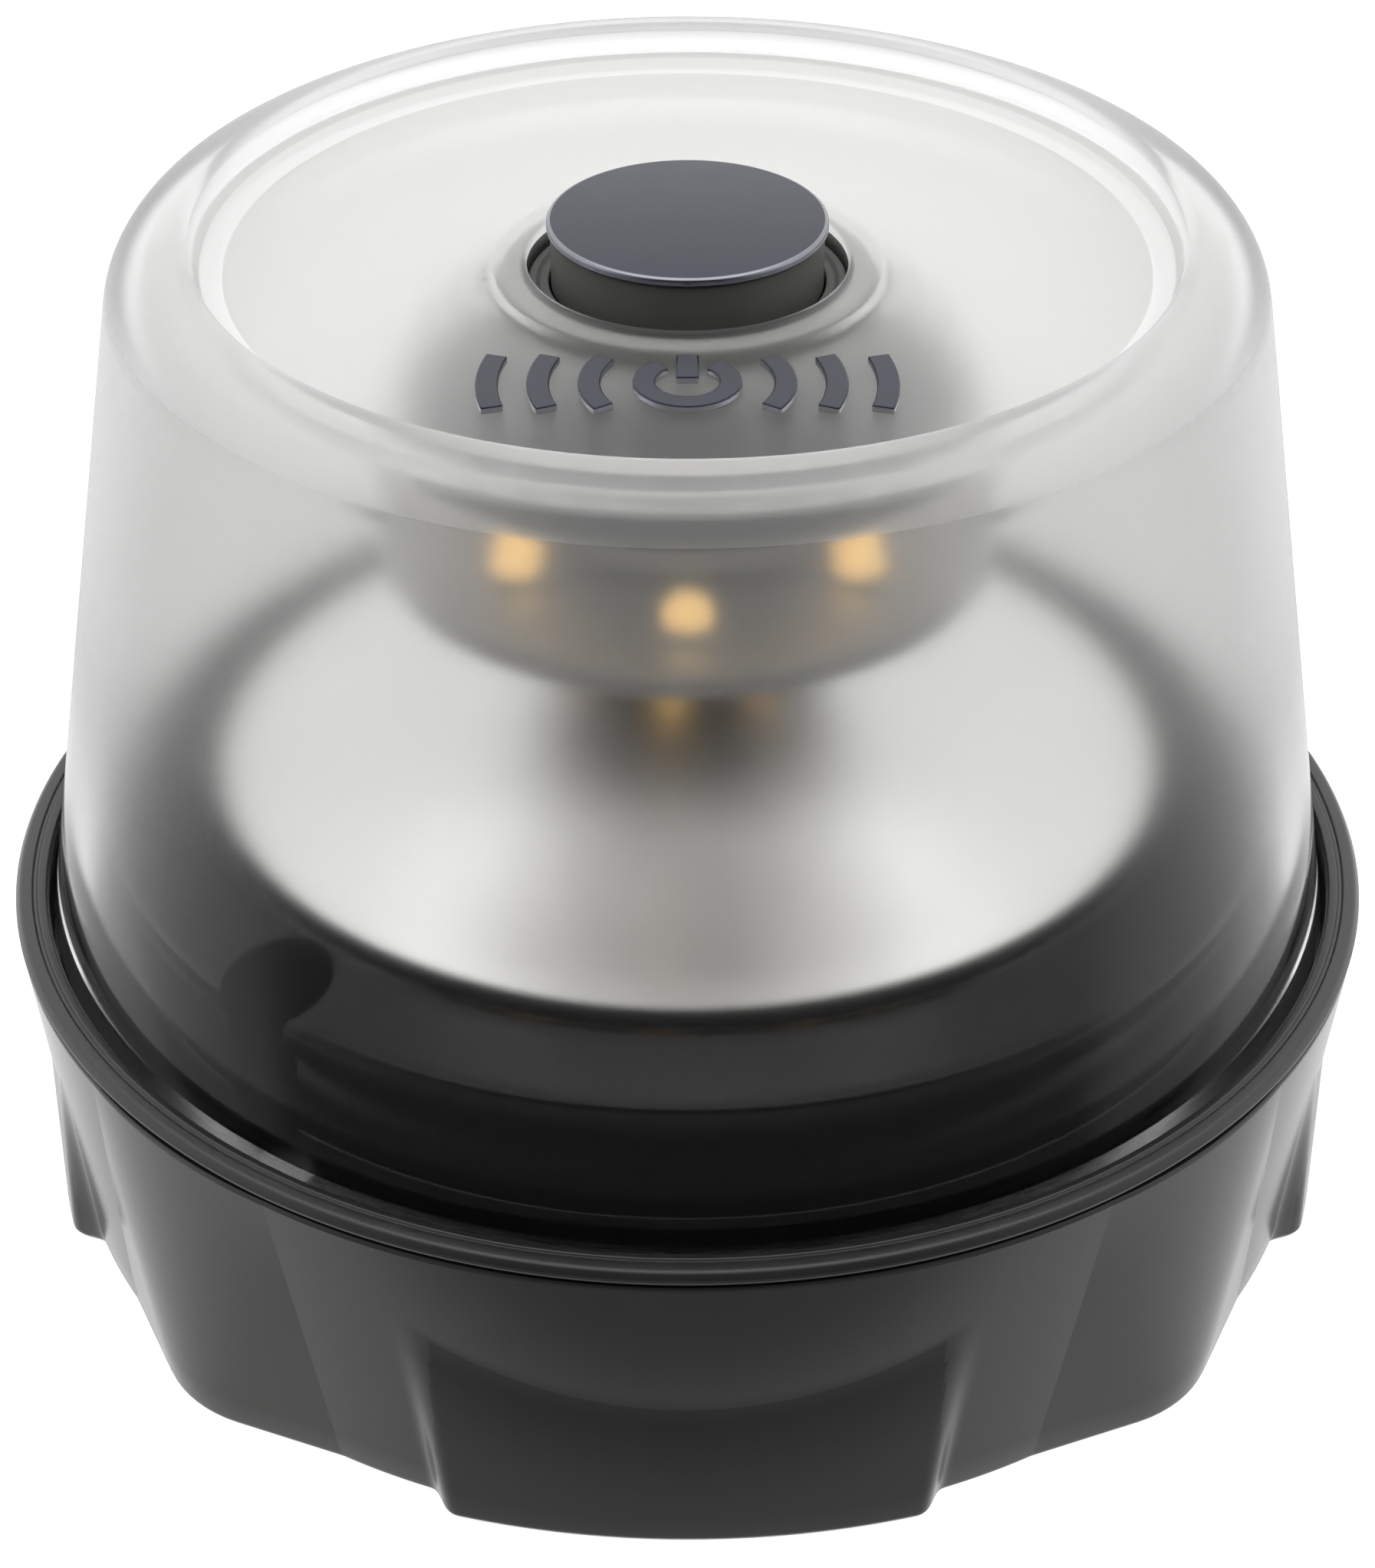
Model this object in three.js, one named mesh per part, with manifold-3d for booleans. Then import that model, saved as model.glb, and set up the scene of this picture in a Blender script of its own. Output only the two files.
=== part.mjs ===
// Electronic road flare: a battery beacon with a lobed twist-off base, a clear dome and a top push button.
// Millimetres, +Z up, origin at the middle of the underside. The front, with the raised mark, faces -Y.

import * as THREE from 'three';
import { mergeVertices } from 'three/addons/utils/BufferGeometryUtils.js';
import Module from 'manifold-3d';

const wasm = await Module();
wasm.setup();

// ---------------------------------------------------------------- driving dimensions

const RING_R = 43;            // widest radius, the edge of the collar ring
const SEAM_Z = 21.2;          // the base cup ends and the collar ring begins
const TOP_Z = 65.67;          // crest of the dome's lip
const TURN = 48;              // facets round a large turned piece
const MID = 32;               // facets round a middling one
const FINE = 24;              // facets round a small one
const SMALL = 12;             // facets round a screw, stud or LED
const GAP = 0.15;             // clearance between stacked pieces

// base cup
const CUP_FLOOR_R = 40.3;     // cone between the grip lobes, at the underside
const CUP_RIM_R = 42.85;      // the same cone at the seam
const CUP_IN_R = 38.2;
const REBATE_R = 41.6;        // the rim is opened out to take the collar ring's skirt
const REBATE_Z = 18.3;
const FOOT_R = 30.5;
const MAGNET_R = 15;

// dome
const DOME_Z = 20.7;
const DOME_FOOT_R = 40.56;
const DOME_SHOULDER_R = 34.02;
const DOME_SHOULDER_Z = 61.8;
const DOME_FILLET_R = 4.58;
const DOME_WALL = 2.1;
const TOP_FLOOR_Z = 63.1;     // sunken flat inside the lip
const TOP_FLOOR_R = 27;
const TOP_HOLE_R = 9.4;
const TOP_WEB_R = 11.6;       // the flat thins to a web over the button's bezel
const TOP_WEB_Z = 62.6;

// push button
const BUTTON_R = 8.23;
const BUTTON_SIDE_R = 8.0;
const BUTTON_TOP_Z = 65.6;
const WELL_R = 9.45;

// light head and reflector
const HEAD_R = 18.7;
const HEAD_Z = 44.5;
const COLUMN_R = 6.5;
const LED_COUNT = 6;
const LED_CIRCLE_R = 11.8;
const BOARD_TOP_Z = 45.1;
const REFLECTOR_R = 29.2;
const REFLECTOR_Z = 30.5;

// chassis
const DECK_R = 35.9;
const DECK_IN_R = 33.2;
const NOTCH_ANGLE = THREE.MathUtils.degToRad(226);
const NOTCH_CENTRE_R = 33.9;
const NOTCH_R = 3.3;
const SCREW_ANGLES = [10, 100, 190, 280].map(THREE.MathUtils.degToRad);
const SCREW_CIRCLE_R = 31.3;

// battery, a 9 V block lying on its side
const BATTERY = { x: 48.5, y: 26.5, z: 17.5 };
const BATTERY_Z = 5.6;
const STUD_Y = 6.35;

// bayonet between the base cup and the head
const LUG_COUNT = 3;
const LUG_TURN = 0.5;         // radians from +X to the first lug

// ---------------------------------------------------------------- materials

function finish(color, roughness, metalness = 0) {
  return new THREE.MeshStandardMaterial({ color, roughness, metalness });
}

const FINISH = {
  cup: finish(0x2e2d2b, 0.38),
  ring: finish(0x262625, 0.3),
  clear: new THREE.MeshStandardMaterial({
    color: 0xdcdcda, roughness: 0.25, transparent: true, opacity: 0.35,
  }),
  button: finish(0x56575f, 0.35, 0.8),
  dark: finish(0x1d1d1c, 0.55),
  silver: finish(0xe4e4e2, 0.3, 0.6),
  rubber: finish(0x202020, 0.85),
  board: finish(0x14532d, 0.5),
  whiteBoard: finish(0xeeeeea, 0.5),
  amber: new THREE.MeshStandardMaterial({ color: 0xffc46a, roughness: 0.3, emissive: 0xff9a20 }),
  steel: finish(0xb4b6b8, 0.3, 1),
  brass: finish(0xc9a45a, 0.35, 1),
  battery: finish(0x33383d, 0.35, 0.6),
  chip: finish(0x18181a, 0.45),
  copper: finish(0xb5703a, 0.35, 1),
};

// ---------------------------------------------------------------- building helpers

const root = new THREE.Group();

function add(name, geometry, material, position = [0, 0, 0]) {
  const mesh = new THREE.Mesh(geometry, material);
  mesh.name = name;
  mesh.position.set(...position);
  root.add(mesh);
  return mesh;
}

// A turned piece: [radius, height] pairs, counter-clockwise seen with the axis on the left.
function turned(profile, segments = TURN) {
  const points = profile.map(([r, z]) => new THREE.Vector2(r, z));
  return new THREE.LatheGeometry(points, segments).rotateX(Math.PI / 2);
}

function washer(rIn, rOut, z0, z1, segments = TURN) {
  return turned([[rIn, z0], [rOut, z0], [rOut, z1], [rIn, z1], [rIn, z0]], segments);
}

function disc(r, z0, z1, segments = FINE) {
  return turned([[0, z0], [r, z0], [r, z1], [0, z1]], segments);
}

function block(x, y, z, cx, cy, z0) {
  return new THREE.BoxGeometry(x, y, z).translate(cx, cy, z0 + z / 2);
}

// Points of an arc in the profile plane, from one angle to another.
function arc(r0, z0, radius, from, to, steps) {
  return Array.from({ length: steps + 1 }, (_, i) => {
    const a = from + ((to - from) * i) / steps;
    return [r0 + radius * Math.cos(a), z0 + radius * Math.sin(a)];
  });
}

function toSolid(geometry) {
  const bare = geometry.clone();
  bare.deleteAttribute('normal');
  bare.deleteAttribute('uv');
  const merged = mergeVertices(bare, 1e-4);
  const mesh = new wasm.Mesh({
    numProp: 3,
    vertProperties: new Float32Array(merged.attributes.position.array),
    triVerts: new Uint32Array(merged.index.array),
  });
  return new wasm.Manifold(mesh);
}

function toGeometry(solid) {
  const mesh = solid.getMesh();
  const geometry = new THREE.BufferGeometry();
  geometry.setAttribute('position', new THREE.BufferAttribute(new Float32Array(mesh.vertProperties), 3));
  geometry.setIndex(new THREE.BufferAttribute(new Uint32Array(mesh.triVerts), 1));
  geometry.computeVertexNormals();
  return geometry;
}

function join(base, pieces) {
  return toGeometry(pieces.reduce((sum, piece) => sum.add(toSolid(piece)), toSolid(base)));
}

function cut(base, tools) {
  return toGeometry(tools.reduce((rest, tool) => rest.subtract(toSolid(tool)), toSolid(base)));
}

function common(a, b) {
  return toGeometry(toSolid(a).intersect(toSolid(b)));
}

function polar(radius, angle) {
  return [radius * Math.cos(angle), radius * Math.sin(angle)];
}

// A block that lies along the radius at the given angle.
function radialBlock(r0, r1, width, z0, z1, angle) {
  return block(r1 - r0, width, z1 - z0, (r0 + r1) / 2, 0, z0).rotateZ(angle);
}

// ---------------------------------------------------------------- base cup

const DEG = Math.PI / 180;
const PAD_FACE_R = 41.62;             // middle of a grip pad's face
const PAD_RISE = 0.37;                // how much further out the face is 20 degrees to its side
const PAD_EDGE = { low: 19.6, high: 21.6, flank: 3 };   // degrees from the pad's middle
const CORNER_NORMAL = 21.5 * DEG;     // a corner lobe's flat faces turn this far from its middle
const CREASE = { low: 14.3, high: 10.5 };     // degrees from a lobe's middle, at the underside and the seam
const LOBE_PEAK = { low: 42.4, high: 42.98 }; // how far out a lobe's nose is at those two heights

function coneR(z) {
  return CUP_FLOOR_R + ((CUP_RIM_R - CUP_FLOOR_R) * z) / SEAM_Z;
}

function padR(degrees) {
  return PAD_FACE_R + PAD_RISE * (degrees / 20) ** 2;
}

// Angle from a corner lobe's middle to the crease where its flat face sinks into the cone.
function creaseDegrees(z) {
  return THREE.MathUtils.lerp(CREASE.low, CREASE.high, z / SEAM_Z);
}

// A corner lobe's section: a round nose between two flat faces turned CORNER_NORMAL from its middle.
function cornerR(degreesOff, z) {
  const peak = THREE.MathUtils.lerp(LOBE_PEAK.low, LOBE_PEAK.high, z / SEAM_Z);
  const crease = creaseDegrees(z) * DEG;
  const flatSpan = 1 - Math.cos(CORNER_NORMAL);
  const flatCentre = (peak - coneR(z) * Math.cos(CORNER_NORMAL - crease)) / flatSpan;
  const aside = (peak - flatCentre) * Math.sin(CORNER_NORMAL);
  const flatTouch = Math.atan2(aside, peak - flatCentre * flatSpan);
  const a = Math.abs(degreesOff) * DEG;
  if (flatTouch <= crease && a >= flatTouch) {
    return (peak - flatCentre * flatSpan) / Math.cos(Math.max(CORNER_NORMAL - a, 0));
  }
  const roundCentre = (peak ** 2 - coneR(z) ** 2) / (2 * (peak - coneR(z) * Math.cos(crease)));
  const centre = flatTouch <= crease ? flatCentre : roundCentre;
  return centre * Math.cos(a) + Math.sqrt((peak - centre) ** 2 - (centre * Math.sin(a)) ** 2);
}

// Height at which a pad's face dives into the cone.
function padTopZ(degrees) {
  return ((padR(degrees) - CUP_FLOOR_R) * SEAM_Z) / (CUP_RIM_R - CUP_FLOOR_R);
}

// Angle, from the pad's middle, where the cone meets the corner lobe.
function diagonalDegrees(z) {
  return 45 - creaseDegrees(z);
}

function cupOuterR(degrees, padEdge, z) {
  const skin = Math.max(coneR(z), cornerR(45 - degrees, z));
  return degrees <= padEdge + 1e-6 ? Math.max(skin, padR(degrees)) : skin;
}

// One eighth of the turn, as [degrees, radius] stations at the ring's height.
function cupStations(z) {
  const t = Math.min(z / padTopZ(PAD_EDGE.high), 1);
  const edge = THREE.MathUtils.lerp(PAD_EDGE.low, PAD_EDGE.high, t);
  const diagonal = diagonalDegrees(z);
  const degrees = [0, edge / 3, (2 * edge) / 3, edge, edge + PAD_EDGE.flank, diagonal];
  degrees.push(diagonal + (45 - diagonal) / 3, diagonal + (2 * (45 - diagonal)) / 3, 45);
  return degrees.map((d) => ({ degrees: d, edge }));
}

// A ring of points round the cup. heightAt gives the height at each angle.
function cupRing(heightAt, inset) {
  const stations = cupStations(heightAt(PAD_EDGE.high));
  const ring = [];
  for (let eighth = 0; eighth < 8; eighth += 1) {
    const mirrored = eighth % 2 === 1;
    const list = mirrored ? [...stations].reverse() : stations;
    for (const { degrees, edge } of list.slice(0, -1)) {
      const z = heightAt(degrees);
      const angle = (eighth * 45 + (mirrored ? 45 - degrees : degrees) - 90) * DEG;
      const r = cupOuterR(degrees, edge, z) - inset;
      ring.push(new THREE.Vector3(...polar(r, angle), z));
    }
  }
  return ring;
}

function circleLike(ring, radius, z) {
  return ring.map((p) => new THREE.Vector3(...polar(radius, Math.atan2(p.y, p.x)), z));
}

// Closed skin through rings that run from the axis below, round the outside, back to the axis above.
function skin(rings, zStart, zEnd) {
  const n = rings[0].length;
  const points = [new THREE.Vector3(0, 0, zStart), ...rings.flat(), new THREE.Vector3(0, 0, zEnd)];
  const last = points.length - 1;
  const index = [];
  for (let i = 0; i < n; i += 1) {
    const j = (i + 1) % n;
    index.push(0, 1 + j, 1 + i);
    index.push(last, last - n + i, last - n + j);
    for (let k = 0; k < rings.length - 1; k += 1) {
      const a = 1 + k * n;
      index.push(a + i, a + j, a + n + j);
      index.push(a + i, a + n + j, a + n + i);
    }
  }
  const geometry = new THREE.BufferGeometry().setFromPoints(points);
  geometry.setIndex(index);
  return geometry;
}

const CUP_FOOT_Z = 0.3;               // the foot pad stands this proud of the cup
const CUP_EDGE = 0.7;                 // chamfer round the underside
const POCKET_R = MAGNET_R + 0.4;
const BOSS_R = MAGNET_R + 2.4;

function baseCup() {
  const rimZ = SEAM_Z - 0.1;
  const recessR = FOOT_R + 0.3;
  const padTop = (degrees) => padTopZ(Math.min(degrees, PAD_EDGE.high));
  const outer = [
    cupRing(() => CUP_FOOT_Z, CUP_EDGE),
    cupRing(() => CUP_FOOT_Z + CUP_EDGE, 0),
    cupRing(() => 4.5, 0),
    cupRing(() => 8, 0),
    cupRing(padTop, 0),
    cupRing(() => 17.5, 0),
    cupRing(() => rimZ, 0),
  ];
  const circle = (radius, z) => circleLike(outer[0], radius, z);
  const under = [circle(POCKET_R, 4.3), circle(POCKET_R, 1.3)];
  under.push(circle(recessR, 1.3), circle(recessR, CUP_FOOT_Z));
  const inner = [circle(REBATE_R, rimZ), circle(REBATE_R, REBATE_Z), circle(CUP_IN_R, REBATE_Z)];
  inner.push(circle(CUP_IN_R, 3.2), circle(BOSS_R, 3.2), circle(BOSS_R, 5.3));
  const shell = skin([...under, ...outer, ...inner], 4.3, 5.3);
  const lugs = Array.from({ length: LUG_COUNT }, (_, i) => {
    return radialBlock(37.1, 38.9, 10, 16.2, 17.6, (i * 2 * Math.PI) / LUG_COUNT + LUG_TURN);
  });
  return join(shell, lugs);
}

// The turning ring that locks the head down: its lugs sit under the cup's.
function bayonetRing() {
  const band = washer(35.3, 36.7, 11.5, 15.8);
  const lugs = Array.from({ length: LUG_COUNT }, (_, i) => {
    return radialBlock(36.2, 37.7, 9, 14.2, 15.8, (i * 2 * Math.PI) / LUG_COUNT + LUG_TURN);
  });
  return join(band, lugs);
}

// ---------------------------------------------------------------- collar, dome and chassis

function collarRing() {
  return turned([
    [40.85, 18.6], [41.3, 18.6], [41.3, 21.35], [42.8, 21.35], [43, 21.5], [RING_R, 21.75],
    [42.8, 22.05], [42.4, 22.2], [41.8, 22.2], [41.65, 22.08], [41.5, 22.2], [40.95, 22.1],
    [40.85, 21.9], [40.85, 18.6],
  ]);
}

function dome() {
  const wallAngle = Math.atan2(DOME_FOOT_R - DOME_SHOULDER_R, DOME_SHOULDER_Z - DOME_Z);
  const filletR = DOME_SHOULDER_R - DOME_FILLET_R * Math.cos(wallAngle);
  const filletZ = TOP_Z - DOME_FILLET_R;
  const shoulder = arc(filletR, filletZ, DOME_FILLET_R, wallAngle, Math.PI / 2, 4);
  const innerFillet = arc(filletR, filletZ, DOME_FILLET_R - DOME_WALL, Math.PI / 2, wallAngle, 3);
  const footInR = DOME_FOOT_R - DOME_WALL;
  return turned([
    [footInR, DOME_Z], [DOME_FOOT_R, DOME_Z], ...shoulder, [29.15, 65.55], [28.75, 64.9], [28.45, 63.9],
    [28.1, 63.4], [TOP_FLOOR_R, TOP_FLOOR_Z], [TOP_HOLE_R, TOP_FLOOR_Z], [TOP_HOLE_R, TOP_WEB_Z],
    [TOP_WEB_R, TOP_WEB_Z], [TOP_WEB_R, 61.1], [26.6, 61.1], [27.6, 61.4], [28.4, 62.3], ...innerFillet,
    [footInR, DOME_Z],
  ]);
}

function chassis() {
  const deck = turned([
    [DECK_IN_R, 18.7], [40.5, 18.7], [40.5, 20.2], [35.4, 20.2], [35.4, 25.9], [DECK_R, 26.1],
    [DECK_R, 27.5], [35.7, 28.1], [35.1, 28.5], [30.6, 29.8], [30, 29.7], [29.8, 28.2],
    [DECK_IN_R, 27.2], [DECK_IN_R, 18.7],
  ]);
  const [nx, ny] = polar(NOTCH_CENTRE_R, NOTCH_ANGLE);
  const pocket = common(disc(NOTCH_R + 0.8, 19.2, 28.5).translate(nx, ny, 0), disc(35.2, 19, 29, TURN));
  const posts = SCREW_ANGLES.map((angle) => {
    const [x, y] = polar(SCREW_CIRCLE_R, angle);
    return disc(1.9, 25.1, 28.4, SMALL).translate(x, y, 0);
  });
  const body = join(deck, [pocket, ...posts]);
  const keyhole = disc(NOTCH_R, 20.21, 31).translate(nx, ny, 0);
  const slot = radialBlock(NOTCH_CENTRE_R, 37, 4.6, 20.21, 31, NOTCH_ANGLE);
  const pilots = SCREW_ANGLES.map((angle) => {
    const [x, y] = polar(SCREW_CIRCLE_R, angle);
    return disc(1.25, 24, 27.6, SMALL).translate(x, y, 0);
  });
  return cut(body, [keyhole, slot, ...pilots]);
}

// ---------------------------------------------------------------- inside the base

function batteryTray() {
  const clear = 0.3;
  const wall = 1.3;
  const plate = disc(32.8, 23.3, 24.8, TURN);
  const sideY = BATTERY.y / 2 + clear;
  const endX = BATTERY.x / 2 + clear;
  const sides = [-1, 1].map((s) => block(BATTERY.x, wall, 17.6, 0, s * (sideY + wall / 2), 5.8));
  const end = block(wall, BATTERY.y + 2 * (clear + wall), 17.6, -(endX + wall / 2), 0, 5.8);
  const holes = SCREW_ANGLES.map((angle) => {
    const [x, y] = polar(SCREW_CIRCLE_R, angle);
    return disc(1.4, 22, 26, SMALL).translate(x, y, 0);
  });
  const wireSlot = block(4, 10, 4, 27.2, 0, 22.5);
  return cut(join(plate, [...sides, end]), [...holes, wireSlot, notchRelief()]);
}

function screw() {
  return turned([
    [0, 21.9], [1, 21.9], [1.9, 22.2], [1.9, 23.2], [1, 23.3], [1, 27.2], [0, 27.4],
  ], SMALL);
}

// Room for the wall of the chassis's keyhole pocket.
function notchRelief() {
  const [x, y] = polar(NOTCH_CENTRE_R, NOTCH_ANGLE);
  return disc(NOTCH_R + 1.2, 20, 28).translate(x, y, 0);
}

function mainBoard() {
  const plate = disc(30.2, 25, 26.4, TURN);
  const reliefs = SCREW_ANGLES.map((angle) => {
    const [x, y] = polar(SCREW_CIRCLE_R, angle);
    return disc(2.3, 24, 28, SMALL).translate(x, y, 0);
  });
  return cut(plate, [...reliefs, notchRelief()]);
}

function snapStud(outerR) {
  const profile = [
    [0, 0], [outerR, 0], [outerR, 0.9], [outerR - 0.3, 1.4], [outerR, 2], [outerR - 0.4, 2.3], [0, 2.3],
  ];
  return turned(profile, SMALL).rotateY(Math.PI / 2);
}

function snapContact(innerR) {
  return washer(innerR, innerR + 0.5, 0, 1.9, SMALL).rotateY(Math.PI / 2);
}

// ---------------------------------------------------------------- light engine

function lowerReflector() {
  return turned([
    [28, 26.6], [29, 26.6], [29, 29.6], [REFLECTOR_R, 29.9], [REFLECTOR_R, REFLECTOR_Z], [24, 31.5],
    [18, 33.3], [12.5, 36.3], [9, 39.6], [7.5, 42], [6.9, 42], [6.9, 40.6], [8.4, 38], [11.9, 35],
    [17.6, 32.2], [23.8, 30.3], [28, 29.3], [28, 26.6],
  ], MID);
}

function headShell() {
  return turned([
    [17.5, HEAD_Z], [HEAD_R, HEAD_Z], [18.5, 49], [18, 52.8], [17.3, 55.4], [16.2, 57.4], [14.6, 59.1],
    [12.8, 60.4], [11.6, 60.8], [11.6, 59.9], [13.6, 58.5], [15.4, 56.7], [16.5, 54.9], [17.15, 53],
    [17.45, 50], [17.5, HEAD_Z],
  ], MID);
}

function upperReflector() {
  return turned([[6.9, 49.6], [17, 52], [17, 52.9], [6.9, 50.6], [6.9, 49.6]], MID);
}

function led() {
  return turned([[0, 0], [1.8, 0], [1.8, 0.8], [1.55, 1.5], [0.9, 2], [0, 2.15]], SMALL);
}

// ---------------------------------------------------------------- push button

function buttonCap() {
  const skirt = turned([
    [7, 61.4], [BUTTON_SIDE_R, 61.4], [BUTTON_SIDE_R, 64.4], [BUTTON_R, 64.7], [BUTTON_R, 65.3],
    [8, BUTTON_TOP_Z], [6, BUTTON_TOP_Z], [6, 64.3], [7, 64.3], [7, 61.4],
  ], MID);
  return join(skirt, [disc(6.01, 64.3, BUTTON_TOP_Z, MID)]);
}

function springCoil(radius, wire, z0, z1, turns) {
  const points = Array.from({ length: turns * 10 + 1 }, (_, i) => {
    const a = (i / 10) * 2 * Math.PI;
    return new THREE.Vector3(...polar(radius, a), z0 + ((z1 - z0) * i) / (turns * 10));
  });
  const section = new THREE.Shape().absarc(0, 0, wire / 2, 0, 2 * Math.PI);
  return new THREE.ExtrudeGeometry(section, {
    extrudePath: new THREE.CatmullRomCurve3(points),
    steps: turns * 10,
    curveSegments: 2,
    bevelEnabled: false,
  });
}

// ---------------------------------------------------------------- raised mark in front of the button

const MARK_Y = -16.5;
const MARK_Z = TOP_FLOOR_Z + 0.02;
const MARK_HEIGHT = 0.45;
const MARK_STROKE = 1.25;

function arcBar(radius, from, to) {
  const shape = new THREE.Shape();
  shape.absarc(0, 0, radius + MARK_STROKE / 2, from, to, false);
  shape.absarc(0, 0, radius - MARK_STROKE / 2, to, from, true);
  return new THREE.ExtrudeGeometry(shape, { depth: MARK_HEIGHT, bevelEnabled: false, curveSegments: 5 });
}

function raisedMark() {
  const quarter = Math.PI / 2;
  const at = [0, MARK_Y, MARK_Z];
  add('mark_ring', arcBar(2.4, quarter + 0.62, quarter - 0.62 + 2 * Math.PI), FINISH.button, at);
  add('mark_stem', block(MARK_STROKE, 2.7, MARK_HEIGHT, 0, 1.75, 0), FINISH.button, at);
  [5.4, 8.2, 11].forEach((radius, i) => {
    const spread = 3.1 / radius;
    add(`mark_arc_right_${i + 1}`, arcBar(radius, -spread, spread), FINISH.button, at);
    add(`mark_arc_left_${i + 1}`, arcBar(radius, Math.PI - spread, Math.PI + spread), FINISH.button, at);
  });
}

// ---------------------------------------------------------------- assembly

function addBase() {
  add('base_cup', baseCup(), FINISH.cup);
  add('foot_pad', disc(FOOT_R, 0, 1.15, TURN), FINISH.rubber);
  add('magnet', disc(MAGNET_R, 1.3, 4.15), FINISH.steel);
  add('bayonet_ring', bayonetRing(), FINISH.dark);
}

function addHeadHousing() {
  add('collar_ring', collarRing(), FINISH.ring);
  add('dome', dome(), FINISH.clear);
  add('dome_gasket', washer(38.6, 40.4, 20.2 + GAP, DOME_Z - GAP, MID), FINISH.rubber);
  add('chassis', chassis(), FINISH.dark);
  add('cup_seal', washer(38.4, 39.6, REBATE_Z + 0.05, 18.65, MID), FINISH.rubber);
}

function addBattery() {
  const half = BATTERY.x / 2;
  const middleZ = BATTERY_Z + BATTERY.z / 2;
  add('battery_tray', batteryTray(), FINISH.dark);
  add('battery', block(BATTERY.x, BATTERY.y, BATTERY.z, 0, 0, BATTERY_Z), FINISH.battery);
  add('battery_stud_plus', snapStud(2.9), FINISH.steel, [half, STUD_Y, middleZ]);
  add('battery_stud_minus', snapStud(3.4), FINISH.steel, [half, -STUD_Y, middleZ]);
  add('snap_contact_plus', snapContact(3.1), FINISH.brass, [half + 0.3, STUD_Y, middleZ]);
  add('snap_contact_minus', snapContact(3.6), FINISH.brass, [half + 0.3, -STUD_Y, middleZ]);
  add('snap_block', block(2.2, 24, 12, half + 3.7, 0, middleZ - 6), FINISH.rubber);
  SCREW_ANGLES.forEach((angle, i) => {
    add(`tray_screw_${i + 1}`, screw(), FINISH.steel, [...polar(SCREW_CIRCLE_R, angle), 0]);
  });
}

function addElectronics() {
  add('main_board', mainBoard(), FINISH.board);
  add('controller_chip', block(7, 7, 1.4, 16, -5, 26.4 + GAP), FINISH.chip);
  add('boost_coil', disc(3.6, 26.4 + GAP, 30.4, SMALL), FINISH.copper, [-14, 9, 0]);
  add('capacitor', disc(2.5, 26.4 + GAP, 31.2, SMALL), FINISH.steel, [-3, -14.5, 0]);
  add('switch_board', disc(8.8, 53, 54), FINISH.board);
}

function addLightEngine() {
  add('lower_reflector', lowerReflector(), FINISH.silver);
  add('centre_column', washer(4.9, COLUMN_R, 26.4 + GAP, 52.8, FINE), FINISH.dark);
  add('led_board', washer(6.8, 17.1, BOARD_TOP_Z - 1.2, BOARD_TOP_Z, MID), FINISH.whiteBoard);
  for (let i = 0; i < LED_COUNT; i += 1) {
    const angle = (i * 2 * Math.PI) / LED_COUNT - Math.PI / 2;
    add(`led_${i + 1}`, led(), FINISH.amber, [...polar(LED_CIRCLE_R, angle), BOARD_TOP_Z + 0.05]);
  }
  add('upper_reflector', upperReflector(), FINISH.dark);
  add('head_shell', headShell(), FINISH.clear);
}

function addButton() {
  const boss = turned([
    [7.9, 57.6], [11.2, 57.6], [11.2, 61.6], [10.7, 62.3], [WELL_R + 0.4, 62.4], [WELL_R, 62.1],
    [WELL_R, 58.6], [7.9, 58.6], [7.9, 57.6],
  ], MID);
  add('button_bezel', boss, FINISH.clear);
  add('button_seal', washer(BUTTON_SIDE_R + 0.12, WELL_R - 0.1, 60.9, 61.8, FINE), FINISH.rubber);
  add('button_cap', buttonCap(), FINISH.button);
  add('button_stem', disc(1.9, 59.1, 64.15, SMALL), FINISH.dark);
  add('switch_body', cut(block(6, 6, 3.2, 0, 0, 54.1), [disc(1.9, 55.4, 60, SMALL)]), FINISH.chip);
  add('switch_plunger', disc(1.6, 56.9, 58.9, SMALL), FINISH.dark);
  add('button_spring', springCoil(5.2, 0.7, 54.5, 63.8, 5), FINISH.steel);
}

addBase();
addHeadHousing();
addBattery();
addElectronics();
addLightEngine();
addButton();
raisedMark();

export default root;
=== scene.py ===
import math

import bmesh
import bpy
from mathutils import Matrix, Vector


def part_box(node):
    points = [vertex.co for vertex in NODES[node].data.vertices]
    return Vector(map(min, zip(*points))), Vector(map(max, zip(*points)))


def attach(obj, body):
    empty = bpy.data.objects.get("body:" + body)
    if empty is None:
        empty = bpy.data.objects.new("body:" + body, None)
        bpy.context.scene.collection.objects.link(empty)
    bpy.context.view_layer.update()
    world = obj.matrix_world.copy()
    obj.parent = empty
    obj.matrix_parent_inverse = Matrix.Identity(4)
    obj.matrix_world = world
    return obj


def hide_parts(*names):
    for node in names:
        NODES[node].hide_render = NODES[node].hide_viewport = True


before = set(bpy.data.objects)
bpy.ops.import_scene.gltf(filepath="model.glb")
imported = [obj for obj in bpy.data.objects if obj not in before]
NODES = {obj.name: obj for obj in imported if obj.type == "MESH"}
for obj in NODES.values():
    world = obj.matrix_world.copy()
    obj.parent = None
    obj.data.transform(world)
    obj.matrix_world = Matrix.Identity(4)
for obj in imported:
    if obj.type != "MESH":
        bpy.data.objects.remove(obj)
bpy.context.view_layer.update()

MM = 0.001
DEG = math.pi / 180


def box_mm(node):
    low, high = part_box(node)
    return low / MM, high / MM


# ---------------------------------------------------------------- sizes read from the frame, in mm

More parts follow.
